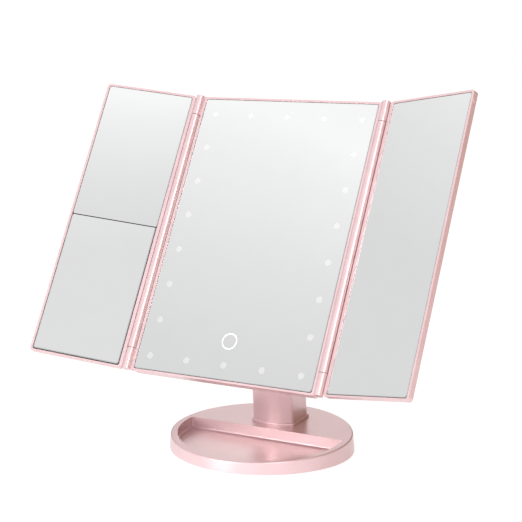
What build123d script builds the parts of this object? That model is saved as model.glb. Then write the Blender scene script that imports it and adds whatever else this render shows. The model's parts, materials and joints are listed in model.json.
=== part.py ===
"""Trifold vanity mirror on a tilting stand, in millimetres, with +Z up and -Y towards the user.

The origin is the centre of the oval base, on the table. The mirror head is modelled in its own head
frame (x across, y up along the glass, z out of the glass) and then leaned back onto the stand's hinge.
Each wing is modelled flat beside its hinge axis and then turned forward about it.
"""

import os
from math import cos, radians, sin, sqrt, tan

from build123d import *

# ---------------------------------------------------------------- driving dimensions
# Base
BASE_HALF_DEPTH = 70.4  # rim, along Y
BASE_STRETCH = 5.2  # the half width is larger than the half depth by this
BASE_END_OFFSET = 12.5  # centres of the oval's two end arcs, from the middle
BASE_DRAFT = 4.6  # degrees, the wall widens towards its foot
BASE_HEIGHT = 13.8  # top surface above the table, at the middle
BASE_SLOPE = 3.2  # degrees, the top falls towards the user
BASE_WALL = 2.2
BASE_RIM_ROUND = 1.1
PAD_THICKNESS = 0.8  # the non-slip pad lifts the shell by this
PAD_INSET = 5.0  # from the edge of the bottom cover
TRAY_INSET = 5.3  # rim width round the tray
TRAY_TO_NECK = 26.4  # straight rear wall of the tray to the centre of the neck's foot
TRAY_FLOOR_Z = 4.6
TRAY_FLOOR_THICKNESS = 2.0
TRAY_CORNER = 1.6
TRAY_FLOOR_ROUND = 1.5
COVER_THICKNESS = 1.5
COVER_GAP = 0.25  # between the bottom cover and the wall round it
COVER_HEAD_HEIGHT = 0.7  # flat heads of the cover screws, sunk in the cover
SIDE_SCREW_INSET = 18.6  # cover screws inside the sides of the base
SIDE_SCREW_Y = 21.0
BACK_SCREW_INSET = 22.4  # and inside its rear
BACK_SCREW_X = 33.0

# Neck
NECK_TO_RIM = 36.8  # centre of the neck's foot to the rear rim of the base
NECK_LEAN = 6.0  # degrees, towards the user
NECK_SETBACK = 6.87  # middle of the neck behind the tilt axis
NECK_HALF_WIDTH = 18.6
NECK_HALF_DEPTH = 13.4  # to the edges of the curved front and back
NECK_FRONT_BULGE = 4.5
NECK_BACK_BULGE = 1.5
NECK_CORNER = 3.0
NECK_WALL = 2.2
NECK_SHOULDER_DROP = 15.0  # top of the shells below the tilt axis
NECK_SHOULDER_THICKNESS = 2.6
NECK_SPLIT = 2.0  # joint of the two shells behind the middle of the neck
COLLAR_THICKNESS = 2.4
COLLAR_LIP = 1.2
COLLAR_ROUND = 0.8
COLLAR_BOSS_RISE = 3.5
CABLE_HOLE_RADIUS = 4.0

# Battery compartment in the neck, four AAA cells in a square bundle
CELL_RADIUS = 5.25
CELL_BODY_LENGTH = 43.3
CELL_NUB_RADIUS = 1.9
CELL_NUB_LENGTH = 1.2
CELL_SPACING = 10.7
SPRING_SPACE = 4.6
SPRING_WIDTH = 4.0
CONTACT_THICKNESS = 0.4
HOLDER_WALL = 1.2
HOLDER_GAP = 0.35
HOLDER_RISE = 8.0  # holder floor above the neck's foot
SPRING_INSET = 1.5  # bend of the leaf spring inside the edge of the cell
DOOR_THICKNESS = 1.8
DOOR_GAP = 0.3
DOOR_HALF_WIDTH = 12.2
GRIP_GROOVES = 4
GRIP_PITCH = 1.6
GRIP_DROP = 5.0  # first groove below the top of the door
GRIP_HALF_WIDTH = 6.0
GRIP_DEPTH = 0.9

# Tilt hinge
HINGE_HEIGHT = 148.0
HEAD_TILT = 29.7  # degrees, the head leans back
AXIS_UP_PANEL = 107.5  # tilt axis above the lower edge of the head
AXIS_BACKSET = 32.4  # tilt axis behind the face of the glass
BARREL_RADIUS = 9.5
BARREL_HALF_WIDTH = 10.0
TENON_HALF_WIDTH = 8.6
TENON_HALF_DEPTH = 8.0
TENON_LENGTH = 20.0
BLOCK_SCREW_DROP = 7.0  # below the shoulder of the neck
BLOCK_SCREW_X = 5.0
SHAFT_RADIUS = 3.0
SHAFT_GAP = 0.05  # running clearance of the shaft in the barrel
SHAFT_HEAD_RADIUS = 5.0
SHAFT_HEAD_HEIGHT = 2.4
WASHER_THICKNESS = 0.6
WASHER_GAP = 0.08
WASHER_INSET = 1.5
EAR_THICKNESS = 6.2
EAR_RADIUS = 9.0
CAP_THICKNESS = 1.2
PLATE_THICKNESS = 3.0
PLATE_HALF_WIDTH = 26.0
PLATE_BELOW = 14.0
PLATE_ABOVE = 17.0
PLATE_CORNER = 3.0
BRACKET_SCREW_X = 21.5
BRACKET_SCREWS_BELOW = 9.5
BRACKET_SCREWS_ABOVE = 12.0
CABLE_SLOT_HALF_WIDTH = 12.0  # in the floor of the front frame, behind the glass
CABLE_SLOT_HALF_HEIGHT = 6.0

# Head: centre panel
HEAD_HEIGHT = 240.4
CENTRE_HALF_WIDTH = 80.4
CENTRE_DEPTH = 13.0  # glass face to back
SIDE_BEZEL = 2.1
GLASS_UP = 1.9  # lower edge of the glass above the lower edge of the head
GLASS_TOP = 2.0  # upper edge of the glass below the upper edge of the head
GLASS_THICKNESS = 2.0
GLASS_CORNER = 1.5
GLASS_GAP = 0.3
BEZEL_PROUD = 0.6
PANEL_CORNER = 2.5
LEDGE_WIDTH = 2.6
FRAME_FLOOR_FACE = 6.0  # tray floor of the frame below the glass face
FRAME_FLOOR_THICKNESS = 1.2
COVER_WALL = 1.8
COVER_CHAMFER = 4.5
HOUSING_HALF_WIDTH = 34.0
HOUSING_BELOW = 44.0  # raised housing on the back, below and above the tilt axis
HOUSING_ABOVE = 52.0
HOUSING_RISE = 5.0
HOUSING_ROUND = 1.8
HOUSING_CORNER = 6.0
HOUSING_BOSS_RISE = 2.0
COVER_BOSS_INSET = 12.4  # cover screws inside the sides of the head
COVER_BOSS_UP = 25.6  # and inside its upper and lower edges

# Lights
LIGHT_COLUMNS = 5
LIGHT_ROWS = 8
LIGHT_MARGIN = 11.6  # outer columns inside the edge of the glass
LIGHT_BOTTOM = 13.6  # lowest row above the lower edge of the head
LIGHT_TOP = 15.6  # highest row below the upper edge of the head
WINDOW_RADIUS = 2.8
WINDOW_GAP = 0.03
RING_UP_PANEL = 33.0
RING_RADIUS = 6.6
RING_LINE = 1.0
DIFFUSER_THICKNESS = 0.6
DIFFUSER_WIDTH = 12.0
LED_SIZE = 3.2
LED_HEIGHT = 1.4
BOARD_THICKNESS = 1.2
BOARD_WIDTH = 9.0
BOARD_SEAT = 0.1
TOUCH_BOARD_MARGIN = 3.0
TOUCH_CHIP_SIZE = 5.0
CHIP_HEIGHT = 1.4

# Wings
AXIS_OUTSET = 4.2  # wing hinge axes outside the sides of the centre panel
AXIS_PROUD = 1.0  # wing hinge axes in front of the glass face
WING_MEETING_GAP = 0.3  # wing edge short of the middle line when closed
WING_THICKNESS = 6.4
WING_GLASS_START = 7.3  # from the hinge axis
WING_OUTER_BEZEL = 2.2
WING_BACK_THICKNESS = 2.2
WING_ROUND = 1.6
KNUCKLE_RADIUS = 3.5
KNUCKLE_CLEAR = 0.7  # wing body round the fixed knuckles
KNUCKLE_TOP = 17.3
KNUCKLE_BOTTOM = 17.3
KNUCKLE_END_GAP = 0.4
GROOVE_DEPTH = 1.2  # groove between the barrel and the bezel
PIN_RADIUS = 1.0
PIN_REACH = 12.0  # pin inside the wing's barrel
PIN_INSET = 0.5  # pin end inside the end of its knuckle
PIN_GAP = 0.05
LEFT_ANGLE = 13.9  # degrees forward of flat, as it stands
RIGHT_ANGLE = 18.3
SPLIT_GAP = 0.8
MAGNIFIER_THICKNESS = 2.4
CATCH_INSET = 8.5  # catch nubs inside the upper and lower edges of the right wing
CATCH_HALF_LENGTH = 2.5
CATCH_HALF_WIDTH = 0.7
CATCH_PROUD = 0.25

# Control board in the housing, heights from the tilt axis
CONTROL_HALF_WIDTH = 28.0
CONTROL_BELOW = 38.0
CONTROL_ABOVE = 28.0
CONTROL_RISE = 4.4
CONTROL_POST_RADIUS = 2.0
CONTROL_POST_INSET = 4.0
CONTROL_PARTS_BELOW = 21.0
CONTROL_CHIP_SIZE = 11.0
COIL_X = 14.0
COIL_RADIUS = 3.0
COIL_HEIGHT = 3.2

# Power switch on the back of the housing
SWITCH_UP_AXIS = 38.0
SWITCH_TRAVEL = 3.0
KNOB_HALF_WIDTH = 3.2
KNOB_HALF_HEIGHT = 2.0
KNOB_PROUD = 1.4
KNOB_GAP = 0.3
KNOB_RIDGE_PITCH = 1.6
KNOB_RIDGE_HALF_WIDTH = 0.3
KNOB_RIDGE_DEPTH = 0.5
KNOB_STEM_HALF_HEIGHT = 1.0
SWITCH_BODY_DEPTH = 5.0
SWITCH_BODY_HALF_WIDTH = 7.0
SWITCH_BODY_HALF_HEIGHT = 4.0
SWITCH_BODY_FLOOR = 2.0

# Charging socket in the rear wall of the base
SOCKET_Z = 9.2
SOCKET_WIDTH = 7.6
SOCKET_HEIGHT = 2.8
SOCKET_DEPTH = 5.6
SOCKET_SHEET = 0.35
SOCKET_RECESS = 0.8
SOCKET_GAP = 0.5
SOCKET_CORNER = 0.8
SOCKET_BACK = 1.0  # closed rear end of the metal sheath
USB_BOARD_WIDTH = 25.0
USB_BOARD_DEPTH = 13.0
USB_POST_RADIUS = 2.2

# Fasteners
SCREW_RADIUS = 1.3
SCREW_HEAD_RADIUS = 2.6
SCREW_HEAD_HEIGHT = 1.6
SCREW_GAP = 0.1
SCREW_BITE = 4.0  # depth of a screw in its boss
BOSS_RADIUS = 3.2

# ---------------------------------------------------------------- derived places
FAR = 400.0  # larger than the whole mirror, for half-spaces
GLASS_HALF_WIDTH = CENTRE_HALF_WIDTH - SIDE_BEZEL
AXIS_HALF_SPAN = CENTRE_HALF_WIDTH + AXIS_OUTSET
LIGHT_HALF_SPAN = GLASS_HALF_WIDTH - LIGHT_MARGIN
LIGHT_PITCH = (HEAD_HEIGHT - LIGHT_BOTTOM - LIGHT_TOP) / (LIGHT_ROWS - 1)
SPLIT_UP_PANEL = HEAD_HEIGHT / 2
BASE_HALF_WIDTH = BASE_HALF_DEPTH + BASE_STRETCH
NECK_FOOT_Y = BASE_HALF_DEPTH - NECK_TO_RIM
TRAY_BACK_Y = NECK_FOOT_Y - TRAY_TO_NECK
BASE_TOP_AT_NECK = BASE_HEIGHT + NECK_FOOT_Y * tan(radians(BASE_SLOPE))
AXIS_Z = HINGE_HEIGHT
NECK_LENGTH = (HINGE_HEIGHT - BASE_TOP_AT_NECK) / cos(radians(NECK_LEAN))
AXIS_Y = NECK_FOOT_Y - NECK_LENGTH * sin(radians(NECK_LEAN)) - NECK_SETBACK * cos(radians(NECK_LEAN))
TILT = radians(HEAD_TILT)
HEAD_Y = AXIS_Y - AXIS_UP_PANEL * sin(TILT) - AXIS_BACKSET * cos(TILT)
HEAD_Z = AXIS_Z - AXIS_UP_PANEL * cos(TILT) + AXIS_BACKSET * sin(TILT)
HEAD = Plane(origin=(0, HEAD_Y, HEAD_Z), x_dir=(1, 0, 0), z_dir=(0, -cos(TILT), sin(TILT))).location
NECK = Pos(0, AXIS_Y, AXIS_Z) * Rot(NECK_LEAN, 0, 0)
BASE_TOP = Pos(0, 0, BASE_HEIGHT) * Rot(BASE_SLOPE, 0, 0)
WING_WIDTH = AXIS_HALF_SPAN - WING_MEETING_GAP
WING_FRONT = BEZEL_PROUD - AXIS_PROUD
WING_FACE = -AXIS_PROUD
WING_BACK = WING_FRONT - WING_THICKNESS
BARREL_BOTTOM = KNUCKLE_BOTTOM + KNUCKLE_END_GAP
BARREL_TOP = HEAD_HEIGHT - KNUCKLE_TOP - KNUCKLE_END_GAP
EAR_INNER = BARREL_HALF_WIDTH + WASHER_THICKNESS + 2 * WASHER_GAP
EAR_OUTER = EAR_INNER + EAR_THICKNESS
HOUSING_FACE = -CENTRE_DEPTH - HOUSING_RISE
PLATE_FACE = HOUSING_FACE - PLATE_THICKNESS


# ---------------------------------------------------------------- small helpers
def block(x0, x1, y0, y1, z0, z1):
    """Box between two corners."""
    return Pos((x0 + x1) / 2, (y0 + y1) / 2, (z0 + z1) / 2) * Box(x1 - x0, y1 - y0, z1 - z0)


def slab(x0, x1, y0, y1, z0, z1, corner):
    """Upright box whose four z edges are rounded."""
    outline = Pos((x0 + x1) / 2, (y0 + y1) / 2, z0) * RectangleRounded(x1 - x0, y1 - y0, corner)
    return extrude(outline, z1 - z0)


def rod(radius, length):
    """Cylinder standing on the XY plane."""
    return Cylinder(radius, length, align=(Align.CENTER, Align.CENTER, Align.MIN))


def oval(outset):
    """Four-arc oval of the base rim, moved outwards by outset."""
    end_x = BASE_END_OFFSET
    excess = end_x - BASE_STRETCH
    side_y = (end_x**2 - excess**2) / (2 * excess)
    end_radius = BASE_HALF_WIDTH - end_x + outset
    line = sqrt(end_x**2 + side_y**2)
    join_x = end_x + end_radius * end_x / line
    join_y = end_radius * side_y / line
    half_width = BASE_HALF_WIDTH + outset
    half_depth = BASE_HALF_DEPTH + outset
    return make_face([
        ThreePointArc((join_x, -join_y), (half_width, 0), (join_x, join_y)),
        ThreePointArc((join_x, join_y), (0, half_depth), (-join_x, join_y)),
        ThreePointArc((-join_x, join_y), (-half_width, 0), (-join_x, -join_y)),
        ThreePointArc((-join_x, -join_y), (0, -half_depth), (join_x, -join_y)),
    ])


def oval_frustum(outset, z0, z1):
    """Drafted body of the base wall, moved outwards by outset, between two heights."""
    foot_outset = outset + (BASE_HEIGHT - z0) * tan(radians(BASE_DRAFT))
    return Pos(0, 0, z0) * extrude(oval(foot_outset), z1 - z0, taper=BASE_DRAFT)


def above(location, height=0.0):
    """Everything above a tilted plane."""
    return location * Pos(0, 0, height + FAR / 2) * Box(FAR, FAR, FAR)


def screw(length, head_height=SCREW_HEAD_HEIGHT):
    """Screw along -Z with its head's seat at the origin."""
    return rod(SCREW_HEAD_RADIUS, head_height) + Pos(0, 0, -length) * rod(SCREW_RADIUS, length)


def group(solids):
    """Several separate solids in one node."""
    return Compound(children=list(solids))


# ---------------------------------------------------------------- base
def tray_outline(grow):
    """D-shaped outline of the tray, moved outwards by grow."""
    back = TRAY_BACK_Y + grow
    front_part = Pos(0, back - FAR / 2) * Rectangle(FAR, FAR)
    outline = oval(grow - TRAY_INSET) & front_part
    corners = outline.vertices().group_by(Axis.Y)[-1]
    return fillet(corners, TRAY_CORNER + grow)


SIDE_SCREW_X = BASE_HALF_WIDTH - SIDE_SCREW_INSET
BACK_SCREW_Y = BASE_HALF_DEPTH - BACK_SCREW_INSET
COVER_SCREWS = [(-SIDE_SCREW_X, SIDE_SCREW_Y), (SIDE_SCREW_X, SIDE_SCREW_Y),
                (-BACK_SCREW_X, BACK_SCREW_Y), (BACK_SCREW_X, BACK_SCREW_Y)]
COLLAR_SCREWS = [(-10.5, -7.8), (10.5, -7.8), (-10.5, 7.8), (10.5, 7.8)]
USB_SCREW_X = USB_BOARD_WIDTH / 2 - BOSS_RADIUS
USB_MOUTH_Y = BASE_HALF_DEPTH - SOCKET_RECESS
USB_BOARD_Z = SOCKET_Z - SOCKET_HEIGHT / 2
USB_SCREW_Y = USB_MOUTH_Y - SOCKET_DEPTH - BOSS_RADIUS
COVER_TOP = PAD_THICKNESS + COVER_THICKNESS
COVER_SEAT = PAD_THICKNESS + COVER_HEAD_HEIGHT


def make_base_shell():
    top = BASE_HEIGHT + BASE_HALF_DEPTH * tan(radians(BASE_SLOPE)) + BASE_WALL
    outer = oval_frustum(0, PAD_THICKNESS, top) - above(BASE_TOP)
    outer = fillet(outer.edges().group_by(Axis.Z)[-1], BASE_RIM_ROUND)
    inner = oval_frustum(-BASE_WALL, PAD_THICKNESS - 1, top) - above(BASE_TOP, -BASE_WALL)
    under_tray = TRAY_FLOOR_Z - TRAY_FLOOR_THICKNESS
    tray_wall = Pos(0, 0, under_tray) * extrude(tray_outline(BASE_WALL), FAR)
    tray = Pos(0, 0, TRAY_FLOOR_Z) * extrude(tray_outline(0), FAR)
    tray = fillet(tray.edges().group_by(Axis.Z)[0], TRAY_FLOOR_ROUND)
    shell = outer - tray - (inner - tray_wall)
    boss_limit = oval_frustum(-BASE_WALL / 2, 0, top) - above(BASE_TOP, -BASE_WALL / 2)
    hole_radius = SCREW_RADIUS + SCREW_GAP
    for x, y in COVER_SCREWS:
        boss = Pos(x, y, COVER_TOP) * rod(BOSS_RADIUS, FAR)
        boss -= Pos(x, y, 0) * rod(hole_radius, COVER_TOP + 2 * SCREW_BITE)
        shell += boss & boss_limit
    for x in (-USB_SCREW_X, USB_SCREW_X):
        post = Pos(x, USB_SCREW_Y, USB_BOARD_Z) * rod(USB_POST_RADIUS, FAR)
        post -= Pos(x, USB_SCREW_Y, 0) * rod(hole_radius, USB_BOARD_Z + SCREW_BITE + 1)
        shell += post & boss_limit
    shell -= Pos(0, NECK_FOOT_Y, 0) * rod(CABLE_HOLE_RADIUS, FAR)
    for x, y in COLLAR_SCREWS:
        shell -= Pos(x, NECK_FOOT_Y + y, 0) * rod(hole_radius, FAR)
    half_width = SOCKET_WIDTH / 2 + SOCKET_GAP
    half_height = SOCKET_HEIGHT / 2 + SOCKET_GAP
    wall_start = USB_MOUTH_Y - BASE_WALL - 1
    return shell - block(-half_width, half_width, wall_start, FAR,
                         SOCKET_Z - half_height, SOCKET_Z + half_height)


def make_base_cover():
    plate = oval_frustum(-BASE_WALL - COVER_GAP, PAD_THICKNESS, COVER_TOP)
    for x, y in COVER_SCREWS:
        plate -= Pos(x, y, 0) * rod(SCREW_RADIUS + SCREW_GAP, FAR)
        sink = SCREW_HEAD_RADIUS + SCREW_GAP
        plate -= Pos(x, y, 0) * rod(sink, COVER_SEAT)
    return plate


def make_pad():
    """Non-slip pad stuck over the bottom cover and its screws."""
    pad = oval_frustum(-BASE_WALL - COVER_GAP - PAD_INSET, 0, PAD_THICKNESS)
    return chamfer(pad.edges().group_by(Axis.Z)[0], PAD_THICKNESS / 3)


def make_cover_screws():
    length = COVER_THICKNESS + SCREW_BITE
    return group(Pos(x, y, COVER_SEAT) * Rot(180, 0, 0) * screw(length, COVER_HEAD_HEIGHT)
                 for x, y in COVER_SCREWS)


def make_usb_socket():
    body = block(-SOCKET_WIDTH / 2, SOCKET_WIDTH / 2, USB_MOUTH_Y - SOCKET_DEPTH, USB_MOUTH_Y,
                 SOCKET_Z - SOCKET_HEIGHT / 2, SOCKET_Z + SOCKET_HEIGHT / 2)
    body = fillet(body.edges().filter_by(Axis.Y).group_by(Axis.Z)[0], SOCKET_CORNER)
    half_width = SOCKET_WIDTH / 2 - SOCKET_SHEET
    half_height = SOCKET_HEIGHT / 2 - SOCKET_SHEET
    back = USB_MOUTH_Y - SOCKET_DEPTH + SOCKET_BACK
    mouth = block(-half_width, half_width, back, FAR, SOCKET_Z - half_height, SOCKET_Z + half_height)
    tongue = block(-half_width / 2, half_width / 2, back - SOCKET_BACK / 2, USB_MOUTH_Y - SOCKET_BACK,
                   SOCKET_Z + half_height / 3, SOCKET_Z + half_height)
    return body - mouth + tongue


def make_usb_board():
    y1 = USB_MOUTH_Y - SOCKET_RECESS - 1
    board = block(-USB_BOARD_WIDTH / 2, USB_BOARD_WIDTH / 2, y1 - USB_BOARD_DEPTH, y1,
                  USB_BOARD_Z - BOARD_THICKNESS, USB_BOARD_Z)
    board &= oval_frustum(-BASE_WALL - COVER_GAP, 0, BASE_HEIGHT)
    for x in (-USB_SCREW_X, USB_SCREW_X):
        board -= Pos(x, USB_SCREW_Y, 0) * rod(SCREW_RADIUS + SCREW_GAP, FAR)
    return board


def make_usb_screws():
    seat = USB_BOARD_Z - BOARD_THICKNESS
    return group(Pos(x, USB_SCREW_Y, seat) * Rot(180, 0, 0) * screw(BOARD_THICKNESS + SCREW_BITE)
                 for x in (-USB_SCREW_X, USB_SCREW_X))


# ---------------------------------------------------------------- neck
def neck_body(outset, top):
    """Solid neck in the neck frame, moved outwards by outset, from below its foot up to a height."""
    half = NECK_HALF_WIDTH + outset
    front = NECK_SETBACK - NECK_HALF_DEPTH - outset
    back = NECK_SETBACK + NECK_HALF_DEPTH + outset
    outline = make_face([
        ThreePointArc((-half, front), (0, front - NECK_FRONT_BULGE), (half, front)),
        Line((half, front), (half, back)),
        ThreePointArc((half, back), (0, back + NECK_BACK_BULGE), (-half, back)),
        Line((-half, back), (-half, front)),
    ])
    outline = fillet(outline.vertices(), NECK_CORNER + min(outset, 0) / 2)
    bottom = -NECK_LENGTH - NECK_CORNER
    return Pos(0, 0, bottom) * extrude(outline, top - bottom)


NECK_SPLIT_Y = NECK_SETBACK + NECK_SPLIT
NECK_BACK_Y = NECK_SETBACK + NECK_HALF_DEPTH
HOLDER_FLOOR = -NECK_LENGTH + HOLDER_RISE
HOLDER_HALF_WIDTH = CELL_SPACING / 2 + CELL_RADIUS + HOLDER_GAP
CELL_FLOOR = HOLDER_FLOOR + HOLDER_WALL
HOLDER_TOP = (CELL_FLOOR + 2 * CONTACT_THICKNESS + SPRING_SPACE + CELL_BODY_LENGTH + CELL_NUB_LENGTH
              + HOLDER_WALL)
CELL_REAR_Y = NECK_BACK_Y - DOOR_THICKNESS - HOLDER_GAP
CELL_ROWS_Y = [CELL_REAR_Y - CELL_RADIUS, CELL_REAR_Y - CELL_RADIUS - CELL_SPACING]
HOLDER_FRONT_Y = CELL_ROWS_Y[1] - CELL_RADIUS - HOLDER_GAP
BLOCK_SCREW_Z = -NECK_SHOULDER_DROP - NECK_SHOULDER_THICKNESS - BLOCK_SCREW_DROP
TENON_Y = NECK_SPLIT_Y - TENON_HALF_DEPTH
TENON_BACK = TENON_Y + TENON_HALF_DEPTH
BLOCK_SCREW_SEAT = NECK_BACK_Y - NECK_WALL


def neck_shells():
    """Hollow neck before it is split, in the world frame, and its front and rear halves."""
    inner_top = -NECK_SHOULDER_DROP - NECK_SHOULDER_THICKNESS
    shell = neck_body(0, -NECK_SHOULDER_DROP) - neck_body(-NECK_WALL, inner_top)
    socket_x = TENON_HALF_WIDTH + SCREW_GAP
    socket_y = TENON_HALF_DEPTH + SCREW_GAP
    shell -= block(-socket_x, socket_x, TENON_Y - socket_y, TENON_Y + socket_y, inner_top - 1, 0)
    door_hole = block(-DOOR_HALF_WIDTH, DOOR_HALF_WIDTH, NECK_SPLIT_Y + NECK_WALL, FAR,
                      HOLDER_FLOOR, HOLDER_TOP)
    rear_half = block(-FAR, FAR, NECK_SPLIT_Y, FAR, -FAR, FAR)
    rear = (shell & rear_half) - door_hole
    front = shell - rear_half
    for x in (-BLOCK_SCREW_X, BLOCK_SCREW_X):
        boss = Pos(x, TENON_BACK + SCREW_GAP, BLOCK_SCREW_Z) * Rot(-90, 0, 0) * rod(BOSS_RADIUS, FAR)
        rear += boss & neck_body(-NECK_WALL / 2, -NECK_SHOULDER_DROP)
    for x in (-BLOCK_SCREW_X, BLOCK_SCREW_X):
        rear -= Pos(x, 0, BLOCK_SCREW_Z) * Rot(-90, 0, 0) * rod(SCREW_RADIUS + SCREW_GAP, FAR)
        head_hole = Rot(-90, 0, 0) * rod(SCREW_HEAD_RADIUS + SCREW_GAP, FAR)
        rear -= Pos(x, BLOCK_SCREW_SEAT, BLOCK_SCREW_Z) * head_hole
    base_side = above(BASE_TOP, COLLAR_THICKNESS)
    return (NECK * front) & base_side, (NECK * rear) & base_side


def make_collar():
    ring = BASE_TOP.inverse() * NECK * neck_body(COLLAR_LIP, -NECK_LENGTH / 2)
    ring &= block(-FAR, FAR, -FAR, FAR, 0, COLLAR_THICKNESS)
    ring = BASE_TOP * fillet(ring.edges().group_by(Axis.Z)[-1], COLLAR_ROUND)
    ring -= Pos(0, NECK_FOOT_Y, 0) * rod(CABLE_HOLE_RADIUS, FAR)
    for x, y in COLLAR_SCREWS:
        boss = BASE_TOP * Pos(x, NECK_FOOT_Y + y, COLLAR_THICKNESS) * rod(BOSS_RADIUS, COLLAR_BOSS_RISE)
        ring += boss
    for x, y in COLLAR_SCREWS:
        ring -= BASE_TOP * Pos(x, NECK_FOOT_Y + y, -1) * rod(SCREW_RADIUS, FAR)
    return ring


def make_collar_screws():
    length = BASE_WALL + COLLAR_THICKNESS + COLLAR_BOSS_RISE - 0.5
    return group(BASE_TOP * Pos(x, NECK_FOOT_Y + y, -BASE_WALL) * Rot(180, 0, 0) * screw(length)
                 for x, y in COLLAR_SCREWS)


def make_hinge_block():
    barrel = Rot(0, 90, 0) * Cylinder(BARREL_RADIUS, 2 * BARREL_HALF_WIDTH)
    body = block(-BARREL_HALF_WIDTH, BARREL_HALF_WIDTH, -BARREL_RADIUS, TENON_BACK, -NECK_SHOULDER_DROP, 0)
    tenon = block(-TENON_HALF_WIDTH, TENON_HALF_WIDTH, TENON_Y - TENON_HALF_DEPTH, TENON_BACK,
                  -NECK_SHOULDER_DROP - TENON_LENGTH, -NECK_SHOULDER_DROP)
    part = barrel + body + tenon
    part -= Rot(0, 90, 0) * Cylinder(SHAFT_RADIUS + SHAFT_GAP, 4 * BARREL_HALF_WIDTH)
    for x in (-BLOCK_SCREW_X, BLOCK_SCREW_X):
        part -= Pos(x, TENON_Y, BLOCK_SCREW_Z) * Rot(-90, 0, 0) * rod(SCREW_RADIUS + SCREW_GAP, FAR)
    return NECK * part


def make_block_screws():
    length = BLOCK_SCREW_SEAT - TENON_Y - SCREW_RADIUS
    return NECK * group(Pos(x, BLOCK_SCREW_SEAT, BLOCK_SCREW_Z) * Rot(-90, 0, 0) * screw(length)
                        for x in (-BLOCK_SCREW_X, BLOCK_SCREW_X))


def make_battery_holder():
    floor_width = NECK_HALF_WIDTH - NECK_WALL - SCREW_GAP
    rear_y = CELL_REAR_Y - CELL_RADIUS
    tray = block(-HOLDER_HALF_WIDTH - HOLDER_WALL, HOLDER_HALF_WIDTH + HOLDER_WALL,
                 HOLDER_FRONT_Y - HOLDER_WALL, rear_y, HOLDER_FLOOR, HOLDER_TOP)
    flange = block(-floor_width, floor_width, rear_y - 2 * HOLDER_WALL, rear_y, HOLDER_FLOOR, HOLDER_TOP)
    hollow = block(-HOLDER_HALF_WIDTH, HOLDER_HALF_WIDTH, HOLDER_FRONT_Y, FAR,
                   CELL_FLOOR, HOLDER_TOP - HOLDER_WALL)
    rib = block(-HOLDER_WALL / 4, HOLDER_WALL / 4, HOLDER_FRONT_Y, HOLDER_FRONT_Y + CELL_RADIUS / 2,
                CELL_FLOOR, HOLDER_TOP - HOLDER_WALL)
    return NECK * (tray + flange - hollow + rib)


def cell_places():
    """Middle of each cell, and whether its positive end is up."""
    places = []
    for row, y in enumerate(CELL_ROWS_Y):
        for column, x in enumerate((-CELL_SPACING / 2, CELL_SPACING / 2)):
            places.append((x, y, (row + column) % 2 == 0))
    return places


SPRING_SEAT = CELL_FLOOR + CONTACT_THICKNESS
CELL_LENGTH = CELL_BODY_LENGTH + CELL_NUB_LENGTH


def make_cells():
    cell = rod(CELL_RADIUS, CELL_BODY_LENGTH)
    cell += Pos(0, 0, CELL_BODY_LENGTH) * rod(CELL_NUB_RADIUS, CELL_NUB_LENGTH)
    turned = Pos(0, 0, CELL_LENGTH) * Rot(180, 0, 0) * cell
    solids = []
    for x, y, up in cell_places():
        start = SPRING_SEAT + SPRING_SPACE if up else SPRING_SEAT
        solids.append(Pos(x, y, start) * (cell if up else turned))
    return NECK * group(solids)


def make_contacts():
    solids = []
    top = HOLDER_TOP - HOLDER_WALL - CONTACT_THICKNESS
    for x, y, up in cell_places():
        half = CELL_RADIUS - CONTACT_THICKNESS
        for z in (CELL_FLOOR, top):
            solids.append(block(x - half, x + half, y - half, y + half, z, z + CONTACT_THICKNESS))
    return NECK * group(solids)


def make_springs():
    """Bent leaf spring under the flat end of each cell."""
    thickness = CONTACT_THICKNESS
    half = CELL_RADIUS - SPRING_INSET
    rise = SPRING_SPACE - thickness
    bend = 2 * thickness
    profile = make_face(Polyline(
        (half, 0), (half, thickness), (bend - half, thickness), (half, rise), (half, rise + thickness),
        (-half / 2, rise + thickness), (-half / 2, rise), (half - bend, rise), (-half, thickness),
        (-half, 0), close=True))
    leaf = Rot(90, 0, 0) * extrude(profile, SPRING_WIDTH / 2, both=True)
    top = HOLDER_TOP - HOLDER_WALL - CONTACT_THICKNESS
    solids = []
    for x, y, up in cell_places():
        if up:
            solids.append(Pos(x, y, SPRING_SEAT) * leaf)
        else:
            solids.append(Pos(x, y, top) * Rot(180, 0, 0) * leaf)
    return NECK * group(solids)


def make_battery_door():
    """Curved door, flush with the back of the neck, with a ribbed thumb grip near its top."""
    half = DOOR_HALF_WIDTH - DOOR_GAP
    skin = neck_body(0, -NECK_SHOULDER_DROP) - neck_body(-DOOR_THICKNESS, -NECK_SHOULDER_DROP)
    low = HOLDER_FLOOR + DOOR_GAP
    high = HOLDER_TOP - DOOR_GAP
    door = skin & block(-half, half, NECK_SPLIT_Y + NECK_WALL, FAR, low, high)
    back = NECK_BACK_Y + NECK_BACK_BULGE
    for step in range(GRIP_GROOVES):
        z = high - GRIP_DROP - step * GRIP_PITCH
        door -= block(-GRIP_HALF_WIDTH, GRIP_HALF_WIDTH, back - GRIP_DEPTH, FAR, z, z + GRIP_PITCH / 2)
    return NECK * door


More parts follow.
